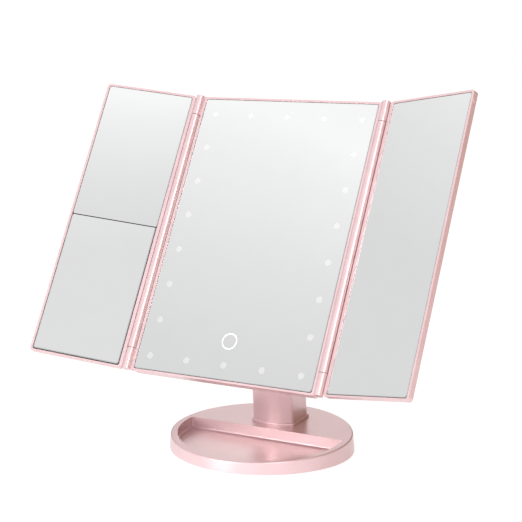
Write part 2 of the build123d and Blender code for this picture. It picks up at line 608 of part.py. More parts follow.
# ---------------------------------------------------------------- tilt hinge on the head
def make_bracket():
    """Plate with two ears, in the head frame, behind the raised housing."""
    y = AXIS_UP_PANEL
    part = slab(-PLATE_HALF_WIDTH, PLATE_HALF_WIDTH, y - PLATE_BELOW, y + PLATE_ABOVE,
                PLATE_FACE, HOUSING_FACE, PLATE_CORNER)
    for side in (-1, 1):
        x0, x1 = sorted((side * EAR_INNER, side * EAR_OUTER))
        ear = Pos((x0 + x1) / 2, y, -AXIS_BACKSET) * Rot(0, 90, 0) * Cylinder(EAR_RADIUS, EAR_THICKNESS)
        web = block(x0, x1, y - EAR_RADIUS, y + EAR_RADIUS, -AXIS_BACKSET, PLATE_FACE)
        part += ear + web
    part -= Pos(0, y, -AXIS_BACKSET) * Rot(0, 90, 0) * Cylinder(SHAFT_RADIUS + SHAFT_GAP, FAR)
    for side in (-1, 1):
        sink = Cylinder(SHAFT_HEAD_RADIUS + 4 * SHAFT_GAP, 2 * (SHAFT_HEAD_HEIGHT + CAP_THICKNESS))
        part -= Pos(side * EAR_OUTER, y, -AXIS_BACKSET) * Rot(0, 90, 0) * sink
    for x, dy in BRACKET_SCREWS:
        part -= Pos(x, y + dy, PLATE_FACE - 1) * rod(SCREW_RADIUS + SCREW_GAP, FAR)
    return HEAD * part


BRACKET_SCREWS = [(x, y) for x in (-BRACKET_SCREW_X, BRACKET_SCREW_X)
                  for y in (-BRACKET_SCREWS_BELOW, BRACKET_SCREWS_ABOVE)]
BRACKET_SCREW_LENGTH = PLATE_THICKNESS + COVER_WALL + HOUSING_BOSS_RISE


def make_bracket_screws():
    return HEAD * group(Pos(x, AXIS_UP_PANEL + dy, PLATE_FACE) * Rot(180, 0, 0) * screw(BRACKET_SCREW_LENGTH)
                        for x, dy in BRACKET_SCREWS)


def on_axis(part):
    """Place a part that was made along Z onto the tilt axis, along X."""
    return HEAD * Pos(0, AXIS_UP_PANEL, -AXIS_BACKSET) * Rot(0, 90, 0) * part


HEAD_SEAT = EAR_OUTER - SHAFT_HEAD_HEIGHT - CAP_THICKNESS


def make_shaft():
    nut_end = HEAD_SEAT + SHAFT_HEAD_HEIGHT
    shaft = Pos(0, 0, -HEAD_SEAT) * rod(SHAFT_RADIUS, HEAD_SEAT + nut_end)
    head = Pos(0, 0, -HEAD_SEAT - SHAFT_HEAD_HEIGHT) * rod(SHAFT_HEAD_RADIUS, SHAFT_HEAD_HEIGHT)
    return on_axis(shaft + head)


def make_nut():
    nut = extrude(RegularPolygon(SHAFT_HEAD_RADIUS, 6), SHAFT_HEAD_HEIGHT)
    return on_axis(Pos(0, 0, HEAD_SEAT) * (nut - rod(SHAFT_RADIUS + SHAFT_GAP, FAR)))


def make_washers():
    ring = rod(BARREL_RADIUS - WASHER_INSET, WASHER_THICKNESS) - rod(SHAFT_RADIUS + SHAFT_GAP, FAR)
    near = BARREL_HALF_WIDTH + WASHER_GAP
    return on_axis(group([Pos(0, 0, near) * ring, Pos(0, 0, -near - WASHER_THICKNESS) * ring]))


def make_caps():
    cap = rod(SHAFT_HEAD_RADIUS + 2 * SHAFT_GAP, CAP_THICKNESS)
    cap = chamfer(cap.edges().group_by(Axis.Z)[-1], CAP_THICKNESS / 3)
    seat = HEAD_SEAT + SHAFT_HEAD_HEIGHT
    return on_axis(group([Pos(0, 0, seat) * cap, Pos(0, 0, -seat) * Rot(180, 0, 0) * cap]))


# ---------------------------------------------------------------- head: centre panel
GLASS_END = HEAD_HEIGHT - GLASS_TOP
FRAME_BACK = -FRAME_FLOOR_FACE - FRAME_FLOOR_THICKNESS
COVER_BOSS_X = CENTRE_HALF_WIDTH - COVER_BOSS_INSET
COVER_BOSSES = [(x, y) for x in (-COVER_BOSS_X, COVER_BOSS_X)
                for y in (COVER_BOSS_UP, HEAD_HEIGHT / 2, HEAD_HEIGHT - COVER_BOSS_UP)]


def make_centre_frame():
    """Tray-shaped front frame with the four fixed knuckles of the wing hinges."""
    part = slab(-CENTRE_HALF_WIDTH, CENTRE_HALF_WIDTH, 0, HEAD_HEIGHT, FRAME_BACK, BEZEL_PROUD, PANEL_CORNER)
    pocket_x = GLASS_HALF_WIDTH + GLASS_GAP
    part -= slab(-pocket_x, pocket_x, GLASS_UP - GLASS_GAP, GLASS_END + GLASS_GAP, -GLASS_THICKNESS, FAR,
                 GLASS_CORNER + GLASS_GAP)
    inner_x = GLASS_HALF_WIDTH - LEDGE_WIDTH
    part -= slab(-inner_x, inner_x, GLASS_UP + LEDGE_WIDTH, GLASS_END - LEDGE_WIDTH,
                 -FRAME_FLOOR_FACE, FAR, 1)
    part -= block(-CABLE_SLOT_HALF_WIDTH, CABLE_SLOT_HALF_WIDTH, AXIS_UP_PANEL - CABLE_SLOT_HALF_HEIGHT,
                  AXIS_UP_PANEL + CABLE_SLOT_HALF_HEIGHT, -FAR, FAR)
    knuckle_spans = [(0, KNUCKLE_BOTTOM), (HEAD_HEIGHT - KNUCKLE_TOP, HEAD_HEIGHT)]
    for side in (-1, 1):
        axis_x = side * AXIS_HALF_SPAN
        x0, x1 = sorted((side * (GLASS_HALF_WIDTH + 1), axis_x))
        for y0, y1 in knuckle_spans:
            knuckle = Pos(axis_x, y0, AXIS_PROUD) * Rot(-90, 0, 0) * rod(KNUCKLE_RADIUS, y1 - y0)
            part += knuckle + block(x0, x1, y0, y1, -KNUCKLE_RADIUS + AXIS_PROUD, BEZEL_PROUD)
        hole = Rot(-90, 0, 0) * rod(PIN_RADIUS + PIN_GAP / 2, HEAD_HEIGHT)
        part -= Pos(axis_x, 0, AXIS_PROUD) * hole
    for x, y in COVER_BOSSES:
        part -= Pos(x, y, FRAME_BACK) * rod(SCREW_RADIUS + SCREW_GAP, FRAME_FLOOR_THICKNESS)
    return HEAD * part


def make_back_cover():
    """Rear shell with the raised housing that carries the bracket and holds the control board."""
    y = AXIS_UP_PANEL
    outer = block(-CENTRE_HALF_WIDTH, CENTRE_HALF_WIDTH, 0, HEAD_HEIGHT, -CENTRE_DEPTH, FRAME_BACK)
    outer = chamfer(outer.edges().group_by(Axis.Z)[0], COVER_CHAMFER)
    outer &= slab(-CENTRE_HALF_WIDTH, CENTRE_HALF_WIDTH, 0, HEAD_HEIGHT,
                  -CENTRE_DEPTH, FRAME_BACK, PANEL_CORNER)
    housing = slab(-HOUSING_HALF_WIDTH, HOUSING_HALF_WIDTH, y - HOUSING_BELOW, y + HOUSING_ABOVE,
                   HOUSING_FACE, -CENTRE_DEPTH + COVER_WALL, HOUSING_CORNER)
    housing = fillet(housing.edges().group_by(Axis.Z)[0], HOUSING_ROUND)
    inner_x = CENTRE_HALF_WIDTH - COVER_WALL
    inner = block(-inner_x, inner_x, COVER_WALL, HEAD_HEIGHT - COVER_WALL, -CENTRE_DEPTH + COVER_WALL, FAR)
    even_wall = COVER_CHAMFER + COVER_WALL * (sqrt(2) - 2)
    part = outer - chamfer(inner.edges().group_by(Axis.Z)[0], even_wall) + housing
    room_x = HOUSING_HALF_WIDTH - COVER_WALL
    part -= slab(-room_x, room_x, y - HOUSING_BELOW + COVER_WALL, y + HOUSING_ABOVE - COVER_WALL,
                 HOUSING_FACE + COVER_WALL, FAR, HOUSING_CORNER - COVER_WALL)
    boss_start = -CENTRE_DEPTH + COVER_WALL / 2
    for bx, by in COVER_BOSSES:
        part += Pos(bx, by, boss_start) * rod(BOSS_RADIUS, FRAME_BACK - boss_start)
    for bx, by in COVER_BOSSES:
        head_hole = rod(SCREW_HEAD_RADIUS + SCREW_GAP, SCREW_HEAD_HEIGHT)
        part -= Pos(bx, by, -FAR) * rod(SCREW_RADIUS + SCREW_GAP, 2 * FAR)
        part -= Pos(bx, by, -CENTRE_DEPTH) * head_hole
    rise = COVER_WALL / 2 + HOUSING_BOSS_RISE
    for bx, dy in BRACKET_SCREWS:
        part += Pos(bx, y + dy, HOUSING_FACE + COVER_WALL / 2) * rod(BOSS_RADIUS, rise)
    for bx, dy in BRACKET_SCREWS:
        part -= Pos(bx, y + dy, -FAR) * rod(SCREW_RADIUS + SCREW_GAP, 2 * FAR)
    slot_x = KNOB_HALF_WIDTH + SWITCH_TRAVEL / 2 + KNOB_GAP
    slot_y = KNOB_HALF_HEIGHT + KNOB_GAP
    switch_y = y + SWITCH_UP_AXIS
    part -= block(-slot_x, slot_x, switch_y - slot_y, switch_y + slot_y, -FAR, -CENTRE_DEPTH)
    return HEAD * part


def make_cover_bolts():
    seat = -CENTRE_DEPTH + SCREW_HEAD_HEIGHT
    return HEAD * group(Pos(x, y, seat) * Rot(180, 0, 0) * screw(-seat + FRAME_BACK + FRAME_FLOOR_THICKNESS)
                        for x, y in COVER_BOSSES)


def light_places():
    """The lights stand in two columns, joined by a row at the top and one at the bottom."""
    places = []
    for row in range(LIGHT_ROWS):
        y = LIGHT_BOTTOM + row * LIGHT_PITCH
        end_row = row in (0, LIGHT_ROWS - 1)
        for column in range(LIGHT_COLUMNS):
            if end_row or column in (0, LIGHT_COLUMNS - 1):
                places.append(((2 * column / (LIGHT_COLUMNS - 1) - 1) * LIGHT_HALF_SPAN, y))
    return places


def make_centre_mirror():
    glass = slab(-GLASS_HALF_WIDTH, GLASS_HALF_WIDTH, GLASS_UP, GLASS_END, -GLASS_THICKNESS, 0, GLASS_CORNER)
    hole = Pos(0, 0, -FAR / 2) * rod(WINDOW_RADIUS + WINDOW_GAP, FAR)
    for x, y in light_places():
        glass -= Pos(x, y, 0) * hole
    ring_depth = GLASS_THICKNESS / 4
    ring = rod(RING_RADIUS + WINDOW_GAP, FAR) - rod(RING_RADIUS - RING_LINE - WINDOW_GAP, FAR)
    return HEAD * (glass - Pos(0, RING_UP_PANEL, -ring_depth) * ring)


def make_windows():
    window = rod(WINDOW_RADIUS, GLASS_THICKNESS)
    return HEAD * group(Pos(x, y, -GLASS_THICKNESS) * window for x, y in light_places())


def make_touch_ring():
    depth = GLASS_THICKNESS / 4
    ring = rod(RING_RADIUS, depth) - rod(RING_RADIUS - RING_LINE, depth)
    return HEAD * Pos(0, RING_UP_PANEL, -depth) * ring


LED_TOP = -GLASS_THICKNESS - DIFFUSER_THICKNESS
BOARD_FACE = LED_TOP - LED_HEIGHT
ROW_TOP = LIGHT_BOTTOM + (LIGHT_ROWS - 1) * LIGHT_PITCH


def light_strips(width, z0, z1, inset):
    """Four strips under the light windows; the two rows fit between the two columns."""
    half = width / 2
    solids = []
    for x in (-LIGHT_HALF_SPAN, LIGHT_HALF_SPAN):
        solids.append(block(x - half, x + half, LIGHT_BOTTOM - half, ROW_TOP + half, z0, z1))
    for y in (LIGHT_BOTTOM, ROW_TOP):
        end = LIGHT_HALF_SPAN - half - inset
        solids.append(block(-end, end, y - half, y + half, z0, z1))
    return solids


def make_diffusers():
    return HEAD * group(light_strips(DIFFUSER_WIDTH, LED_TOP, -GLASS_THICKNESS, BOARD_SEAT))


def make_led_boards():
    return HEAD * group(light_strips(BOARD_WIDTH, BOARD_FACE - BOARD_THICKNESS, BOARD_FACE, BOARD_SEAT))


def make_leds():
    led = block(-LED_SIZE / 2, LED_SIZE / 2, -LED_SIZE / 2, LED_SIZE / 2, BOARD_FACE, LED_TOP)
    return HEAD * group(Pos(x, y, 0) * led for x, y in light_places())


def make_touch_board():
    half = RING_RADIUS + TOUCH_BOARD_MARGIN
    chip_z = -GLASS_THICKNESS - BOARD_THICKNESS
    board = slab(-half, half, RING_UP_PANEL - half, RING_UP_PANEL + half, chip_z, -GLASS_THICKNESS, 1)
    chip = Box(TOUCH_CHIP_SIZE, TOUCH_CHIP_SIZE, CHIP_HEIGHT)
    return HEAD * (board + Pos(0, RING_UP_PANEL, chip_z - CHIP_HEIGHT / 2) * chip)


CONTROL_TOP = HOUSING_FACE + COVER_WALL + CONTROL_RISE


def make_control_board():
    y = AXIS_UP_PANEL
    board = slab(-CONTROL_HALF_WIDTH, CONTROL_HALF_WIDTH, y - CONTROL_BELOW, y + CONTROL_ABOVE,
                 CONTROL_TOP - BOARD_THICKNESS, CONTROL_TOP, 1)
    post_height = CONTROL_RISE - BOARD_THICKNESS
    post_x = CONTROL_HALF_WIDTH - CONTROL_POST_INSET
    for x in (-post_x, post_x):
        for dy in (CONTROL_POST_INSET - CONTROL_BELOW, CONTROL_ABOVE - CONTROL_POST_INSET):
            board += Pos(x, y + dy, HOUSING_FACE + COVER_WALL) * rod(CONTROL_POST_RADIUS, post_height)
    parts_y = y - CONTROL_PARTS_BELOW
    chip = Box(CONTROL_CHIP_SIZE, CONTROL_CHIP_SIZE, CHIP_HEIGHT)
    board += Pos(0, parts_y, CONTROL_TOP + CHIP_HEIGHT / 2) * chip
    return HEAD * (board + Pos(COIL_X, parts_y, CONTROL_TOP) * rod(COIL_RADIUS, COIL_HEIGHT))


def make_switch_body():
    y = AXIS_UP_PANEL + SWITCH_UP_AXIS
    z0 = HOUSING_FACE + COVER_WALL
    body = block(-SWITCH_BODY_HALF_WIDTH, SWITCH_BODY_HALF_WIDTH, y - SWITCH_BODY_HALF_HEIGHT,
                 y + SWITCH_BODY_HALF_HEIGHT, z0, z0 + SWITCH_BODY_DEPTH)
    slot_x = KNOB_HALF_WIDTH / 2 + SWITCH_TRAVEL / 2 + KNOB_GAP
    slot_y = KNOB_STEM_HALF_HEIGHT + KNOB_GAP
    slot = block(-slot_x, slot_x, y - slot_y, y + slot_y, z0, z0 + SWITCH_BODY_DEPTH - SWITCH_BODY_FLOOR)
    return HEAD * (body - slot)


def make_switch_knob():
    """Knob at the off end of its slot, with its stem in the switch body."""
    y = AXIS_UP_PANEL + SWITCH_UP_AXIS
    x = -SWITCH_TRAVEL / 2
    inner = HOUSING_FACE + COVER_WALL - KNOB_GAP
    knob = block(x - KNOB_HALF_WIDTH, x + KNOB_HALF_WIDTH, y - KNOB_HALF_HEIGHT, y + KNOB_HALF_HEIGHT,
                 HOUSING_FACE - KNOB_PROUD, inner)
    groove_floor = HOUSING_FACE - KNOB_PROUD + KNOB_RIDGE_DEPTH
    for step in (-KNOB_RIDGE_PITCH, 0, KNOB_RIDGE_PITCH):
        groove_x = x + step
        knob -= block(groove_x - KNOB_RIDGE_HALF_WIDTH, groove_x + KNOB_RIDGE_HALF_WIDTH, y - FAR, y + FAR,
                      -FAR, groove_floor)
    stem_end = inner + SWITCH_BODY_DEPTH - SWITCH_BODY_FLOOR - KNOB_GAP
    stem = block(x - KNOB_HALF_WIDTH / 2, x + KNOB_HALF_WIDTH / 2, y - KNOB_STEM_HALF_HEIGHT,
                 y + KNOB_STEM_HALF_HEIGHT, inner, stem_end)
    return HEAD * (knob + stem)


# ---------------------------------------------------------------- wings
def place_wing(part, side):
    """Turn a flat wing forward about its hinge axis; side is -1 on the left and 1 on the right."""
    angle = RIGHT_ANGLE if side > 0 else LEFT_ANGLE
    flat = part if side > 0 else mirror(part, Plane.YZ)
    return HEAD * Pos(side * AXIS_HALF_SPAN, 0, AXIS_PROUD) * Rot(0, -side * angle, 0) * flat


WING_BODY_START = KNUCKLE_RADIUS + KNUCKLE_CLEAR
WING_GLASS_END = WING_WIDTH - WING_OUTER_BEZEL
WING_SPLIT = WING_BACK + WING_BACK_THICKNESS


def wing_frame(side, glass_thickness):
    """Front frame of a wing: bezel, glass seat and the long barrel between the fixed knuckles.

    The right one has two small catch nubs on its outer side face, which meet the left wing when closed.
    """
    part = slab(WING_BODY_START, WING_WIDTH, 0, HEAD_HEIGHT, WING_SPLIT, WING_FRONT, PANEL_CORNER)
    body_end = WING_BODY_START + PANEL_CORNER
    part += block(WING_BODY_START, body_end, BARREL_BOTTOM, BARREL_TOP, WING_SPLIT, WING_FRONT)
    part += block(0, WING_BODY_START, BARREL_BOTTOM, BARREL_TOP, WING_SPLIT, WING_FRONT - GROOVE_DEPTH)
    part += Pos(0, BARREL_BOTTOM, 0) * Rot(-90, 0, 0) * rod(KNUCKLE_RADIUS, BARREL_TOP - BARREL_BOTTOM)
    for y in (BARREL_BOTTOM, BARREL_TOP - PIN_REACH - PIN_RADIUS):
        part -= Pos(0, y, 0) * Rot(-90, 0, 0) * rod(PIN_RADIUS + PIN_GAP, PIN_REACH + PIN_RADIUS)
    part -= slab(WING_GLASS_START - GLASS_GAP, WING_GLASS_END + GLASS_GAP, GLASS_UP - GLASS_GAP,
                 GLASS_END + GLASS_GAP, WING_FACE - glass_thickness, FAR, GLASS_CORNER + GLASS_GAP)
    middle = (WING_SPLIT + WING_FRONT) / 2
    if side > 0:
        for y in (CATCH_INSET, HEAD_HEIGHT - CATCH_INSET):
            part += block(WING_WIDTH - WING_OUTER_BEZEL / 2, WING_WIDTH + CATCH_PROUD, y - CATCH_HALF_LENGTH,
                          y + CATCH_HALF_LENGTH, middle - CATCH_HALF_WIDTH, middle + CATCH_HALF_WIDTH)
    return place_wing(part, side)


def wing_back(side):
    outer = slab(WING_BODY_START, WING_WIDTH, 0, HEAD_HEIGHT, WING_BACK, WING_SPLIT, PANEL_CORNER)
    outer += block(0, WING_BODY_START + PANEL_CORNER, BARREL_BOTTOM, BARREL_TOP, WING_BACK, WING_SPLIT)
    outer = chamfer(outer.edges().group_by(Axis.Z)[0], WING_ROUND)
    return place_wing(outer, side)


def wing_mirror(side, thickness, y0, y1):
    glass = slab(WING_GLASS_START, WING_GLASS_END, y0, y1, WING_FACE - thickness, WING_FACE, GLASS_CORNER)
    return place_wing(glass, side)


def make_pins(side):
    """Two pins per wing, one through each fixed knuckle into the barrel."""
    low = rod(PIN_RADIUS, BARREL_BOTTOM + PIN_REACH - PIN_INSET)
    high = rod(PIN_RADIUS, HEAD_HEIGHT - BARREL_TOP + PIN_REACH - PIN_INSET)
    pins = [Pos(0, PIN_INSET, 0) * Rot(-90, 0, 0) * low,
            Pos(0, BARREL_TOP - PIN_REACH, 0) * Rot(-90, 0, 0) * high]
    return HEAD * Pos(side * AXIS_HALF_SPAN, 0, AXIS_PROUD) * group(pins)


# ---------------------------------------------------------------- build and write
def main():
    neck_front, neck_rear = neck_shells()
    split_low = SPLIT_UP_PANEL - SPLIT_GAP / 2
    split_high = SPLIT_UP_PANEL + SPLIT_GAP / 2
    nodes = {
        "base_shell": make_base_shell(),
        "base_bottom_cover": make_base_cover(),
        "non_slip_pad": make_pad(),
        "base_cover_screws": make_cover_screws(),
        "usb_socket": make_usb_socket(),
        "usb_board": make_usb_board(),
        "usb_board_screws": make_usb_screws(),
        "neck_collar": make_collar(),
        "neck_collar_screws": make_collar_screws(),
        "neck_front_shell": neck_front,
        "neck_rear_shell": neck_rear,
        "hinge_block": make_hinge_block(),
        "hinge_block_screws": make_block_screws(),
        "battery_holder": make_battery_holder(),
        "aaa_cells": make_cells(),
        "battery_contacts": make_contacts(),
        "battery_springs": make_springs(),
        "battery_door": make_battery_door(),
        "tilt_bracket": make_bracket(),
        "tilt_bracket_screws": make_bracket_screws(),
        "tilt_shaft": make_shaft(),
        "tilt_shaft_nut": make_nut(),
        "friction_washers": make_washers(),
        "hinge_caps": make_caps(),
        "centre_front_frame": make_centre_frame(),
        "centre_back_cover": make_back_cover(),
        "back_cover_screws": make_cover_bolts(),
        "centre_mirror": make_centre_mirror(),
        "light_windows": make_windows(),
        "touch_ring": make_touch_ring(),
        "light_diffusers": make_diffusers(),
        "led_boards": make_led_boards(),
        "leds": make_leds(),
        "touch_sensor_board": make_touch_board(),
        "control_board": make_control_board(),
        "switch_body": make_switch_body(),
        "switch_knob": make_switch_knob(),
        "left_wing_frame": wing_frame(-1, MAGNIFIER_THICKNESS),
        "left_wing_back": wing_back(-1),
        "left_upper_mirror": wing_mirror(-1, MAGNIFIER_THICKNESS, split_high, GLASS_END),
        "left_lower_mirror": wing_mirror(-1, MAGNIFIER_THICKNESS, GLASS_UP, split_low),
        "left_hinge_pins": make_pins(-1),
        "right_wing_frame": wing_frame(1, GLASS_THICKNESS),
        "right_wing_back": wing_back(1),
        "right_mirror": wing_mirror(1, GLASS_THICKNESS, GLASS_UP, GLASS_END),
        "right_hinge_pins": make_pins(1),
    }
    os.makedirs("parts", exist_ok=True)
    for name, solid in nodes.items():
        export_step(solid, f"parts/{name}.step")


main()
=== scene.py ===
"""Looks of the trifold vanity mirror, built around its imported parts, in metres."""

import json
from collections import namedtuple
from math import cos, radians, sin

import bpy
from mathutils import Matrix, Vector

# Camera
CAMERA_AIM = Vector((-0.01245, 0.0220, 0.14975))
CAMERA_AZIMUTH = radians(28.38)
CAMERA_ELEVATION = radians(9.96)
CAMERA_DISTANCE = 1.111
CAMERA_LENS = 93.91
CAMERA_SENSOR = 36.0

# Light tent, which brightens towards an axis leaned to the left of straight up
TENT_AXIS = Vector((-0.255, 0.0, 0.967))
TENT_STOPS = (  # place along the axis, from -1 at its foot to 1, and brightness there
    (-1.0, 0.80), (0.30, 0.746), (0.70, 0.746), (0.753, 0.82), (0.783, 0.89),
    (0.801, 0.93), (0.822, 1.01), (0.85, 0.98), (1.0, 0.92),
)
RAMP_TOP = 2.0  # brightness that a ramp colour of 1 stands for
SEAM = 0.728  # place along the axis round which the tent changes faster
SEAM_SHARPNESS = 1.7  # how much faster
SEAM_SPAN = (-0.45, -0.12)  # it sharpens over these x of the direction, from left to right

# Low surroundings, which are darkest behind the mirror, with a tan screen on one side
FRONT_AZIMUTH = radians(20.0)
FRONT_SPAN = (-0.6, 0.9)  # they brighten over these cosines to the front
FRONT_LEVEL = 1.25
BACK_LEVEL = 0.15
LOW_SPAN = (0.10, 0.35)  # the change from back to front fades out over these heights
SCREEN_AZIMUTH = radians(120.0)
SCREEN_SPAN = (0.1, 0.7)  # the tan comes in over these cosines to the screen
SCREEN_TAN = (0.50, 0.32, 0.18, 1.0)

# Backdrop and floor
PURE_WHITE = (1.0, 1.0, 1.0, 1.0)
BACKDROP_STRENGTH = 1.0
FLOOR_HALF_SIZE = 6.0
FLOOR_ALBEDO = 0.30
FLOOR_CLOUD = 1.02  # ratio of its palest places to the rest
FLOOR_FINISH = {
    "Roughness": 1.0,
    "Specular IOR Level": 0.0,
    "Emission Color": PURE_WHITE,
    "Emission Strength": 0.84,
}

# Softboxes: azimuth in degrees from the front towards the right, elevation in degrees,
# distance and size in metres; a mirrored one shows in shiny surfaces
Softbox = namedtuple(
    "Softbox", "name azimuth elevation distance size watts colour mirrored",
    defaults=((1.0, 1.0, 1.0), True),
)
SOFTBOXES = (
    Softbox("key", azimuth=-19.0, elevation=3.0, distance=1.2, size=0.45, watts=6.0),
    Softbox("high_right", azimuth=43.0, elevation=40.0, distance=1.5, size=0.45, watts=6.3),
    Softbox("fill", azimuth=18.0, elevation=14.0, distance=1.5, size=0.8, watts=8.5,
            mirrored=False),
    Softbox("rear_left", azimuth=-153.0, elevation=13.0, distance=1.5, size=0.5, watts=0.65),
    Softbox("warm_card", azimuth=127.0, elevation=2.0, distance=1.0, size=0.5, watts=0.30,
            colour=(1.0, 0.50, 0.22)),
)

# Rose lacquer; colours here and below are linear red, green and blue
ROSE = (0.63, 0.43, 0.45)
ROSE_LIGHT = (0.71, 0.51, 0.535)
FLAKE_CELLS = 3800.0  # per metre
FLAKE_SHARE = 0.35  # part of the change of tone that is flake; the rest is cloudiness
PAINTED_CREASE_SHADE = (0.42, 0.16, 0.14, 1.0)  # painted shade in corners and joints, a deep warm rose
PAINTED_SHADE_REACH = 0.004
PAINTED_SHADE_SPAN = (0.15, 0.60)  # the painted shade fades out over this openness
LACQUER_ROUGHNESS = (0.30, 0.38)
LACQUER_FINISH = {
    "Metallic": 0.45,
    "Specular Tint": (0.70, 0.52, 0.45, 1.0),
    "Coat Weight": 0.8,
    "Coat IOR": 1.9,
    "Coat Roughness": 0.30,
}

# Mirror glass
SILVER = (0.925, 0.93, 0.93)
SILVER_BRIGHT = (0.985, 0.99, 0.99)
SILVER_CLOUD = 0.01
# dark colour of the ground glass edges, also used as the painted shade of the mirror border
GLASS_EDGE_AND_BORDER_SHADE = (0.03, 0.035, 0.035, 1.0)
GLASS_FACING = Vector((0.0, -0.869, 0.495))  # out of the centre mirror, as it stands
FACE_COSINE = 0.8  # glass turned closer to that way than this is silvered
FACE_ROUGHNESS = 0.008
EDGE_ROUGHNESS = 0.35
BORDER_SHADE_REACH = 0.002
BORDER_SHADE_LEAN = Vector((0.40, -0.198, -0.347))  # leans the painted border shade so it is wider at the lower and right edges, as if lit from the upper left
THIN_BORDER_SHADE = (0.62, 0.79)  # the painted border shade fades out over this openness
WIDE_BORDER_SHADE = (0.82, 0.90)

# Etched glass, with a faint painted glow
WINDOW_DARK = (0.90, 0.90, 0.90)
WINDOW_LIGHT = (0.94, 0.94, 0.94)
WINDOW_FINISH = {"Metallic": 0.9, "Roughness": 0.14}
RING_DARK = (0.74, 0.74, 0.74)
RING_LIGHT = (0.80, 0.80, 0.80)
RING_ROUGHNESS = (0.45, 0.60)
PAINTED_GLOW = {"Emission Color": PURE_WHITE, "Emission Strength": 0.03}

# Metals
STEEL = (0.62, 0.62, 0.63)
ZINC_TINT = (0.70, 0.68, 0.62)
HINGE = (0.48, 0.46, 0.46)

# Plastics and rubber
GREY = (0.26, 0.24, 0.24)
GREY_LIGHT = (0.31, 0.29, 0.29)
WHITE = (0.86, 0.86, 0.85)
WHITE_LIGHT = (0.92, 0.92, 0.91)
BLACK = (0.012, 0.012, 0.013)
BLACK_LIGHT = (0.02, 0.02, 0.02)
RUBBER_LIGHT = (0.022, 0.022, 0.023)
PLASTIC_SPREAD = 0.06  # roughness of a plastic varies this much either way

# Circuit boards and cells
MASK_GREEN = (0.010, 0.090, 0.035)
MASK_DARK = (0.006, 0.050, 0.020)
MASK_FINISH = {"Roughness": 0.32}
JACKET = (0.035, 0.045, 0.070)
JACKET_BAND = (0.42, 0.30, 0.09)
JACKET_ROUGHNESS = (0.24, 0.34)
JACKET_FINISH = {"Metallic": 0.5}


# ---------------------------------------------------------------- node helpers
def new_material(name):
    """New node material, with its node tree and its shader."""
    material = bpy.data.materials.new(name)
    material.use_nodes = True
    tree = material.node_tree
    return material, tree, tree.nodes["Principled BSDF"]


def add(tree, kind, inputs=None, **settings):
    """Add a node, set its properties, and fill or link its inputs."""
    node = tree.nodes.new(kind)
    for name, value in settings.items():
        setattr(node, name, value)
    for name, value in (inputs or {}).items():
        if isinstance(value, bpy.types.NodeSocket):
            tree.links.new(value, node.inputs[name])
        else:
            node.inputs[name].default_value = value
    return node


def link(tree, value, shader, name):
    """Feed a shader's input."""
    tree.links.new(value, shader.inputs[name])


def set_inputs(shader, values):
    """Set constants on a shader."""
    for name, value in values.items():
        shader.inputs[name].default_value = value


def calculate(tree, operation, *values):
    """Result of a maths node."""
    return add(tree, "ShaderNodeMath", dict(enumerate(values)), operation=operation).outputs[0]


def combine(tree, operation, first, second, output="Vector"):
    """Result of a vector maths node."""
    inputs = {0: first, 1: second}
    return add(tree, "ShaderNodeVectorMath", inputs, operation=operation).outputs[output]


def cosine(tree, first, second):
    """Cosine of the angle between two unit vectors."""
    return combine(tree, "DOT_PRODUCT", first, second, output="Value")


def remap(tree, value, span, low=0.0, high=1.0, kind="LINEAR"):
    """Change from low to high as a value crosses a span."""
    inputs = {"Value": value, "From Min": span[0], "From Max": span[1],
              "To Min": low, "To Max": high}
    return add(tree, "ShaderNodeMapRange", inputs, interpolation_type=kind).outputs["Result"]


def ease(tree, value, span, low=0.0, high=1.0):
    """Change from low to high as a value crosses a span, with a soft start and end."""
    return remap(tree, value, span, low, high, kind="SMOOTHSTEP")


def spread(tree, factor, low, high):
    """Map a factor of 0 to 1 onto a range."""
    return remap(tree, factor, (0.0, 1.0), low, high)


def place(tree):
    """Coordinates in metres, which move with the piece."""
    return tree.nodes.new("ShaderNodeTexCoord").outputs["Object"]


def noise(tree, scale, detail=2.0):
    """Noise with this many cells per metre."""
    inputs = {"Vector": place(tree), "Scale": scale, "Detail": detail}
    return add(tree, "ShaderNodeTexNoise", inputs).outputs["Fac"]


def bump(tree, height, strength, distance):
    """Bump of this height in metres."""
    inputs = {"Height": height, "Strength": strength, "Distance": distance}
    return add(tree, "ShaderNodeBump", inputs).outputs["Normal"]


def ramp(tree, factor, stops):
    """Colour ramp through (position, colour) stops."""
    node = add(tree, "ShaderNodeValToRGB", {"Fac": factor})
    elements = node.color_ramp.elements
    while len(elements) < len(stops):
        elements.new(0.5)
    for element, (position, colour) in zip(elements, stops):
        element.position = position
        element.color = (*colour, 1.0)
    return node.outputs["Color"]


def two_tone(tree, factor, dark, light):
    """Two tones, blended over the middle of a noise."""
    return ramp(tree, factor, ((0.3, dark), (0.7, light)))


def mix_colour(tree, factor, first, second):
    """Blend two colours; the colour sockets of a mix node are the ones numbered here."""
    node = tree.nodes.new("ShaderNodeMix")
    node.data_type = "RGBA"
    for number, value in ((0, factor), (6, first), (7, second)):
        if isinstance(value, bpy.types.NodeSocket):
            tree.links.new(value, node.inputs[number])
        else:
            node.inputs[number].default_value = value
    return node.outputs[2]


def openness(tree, reach, span, axis=None):
    """How open a place is within reach, looking along an axis: 0 in a corner, 1 past the span; it
    masks painted shade.
    """
    inputs = {"Distance": reach}
    if axis:
        inputs["Normal"] = axis
    light = add(tree, "ShaderNodeAmbientOcclusion", inputs, samples=8).outputs["AO"]
    return remap(tree, light, span)


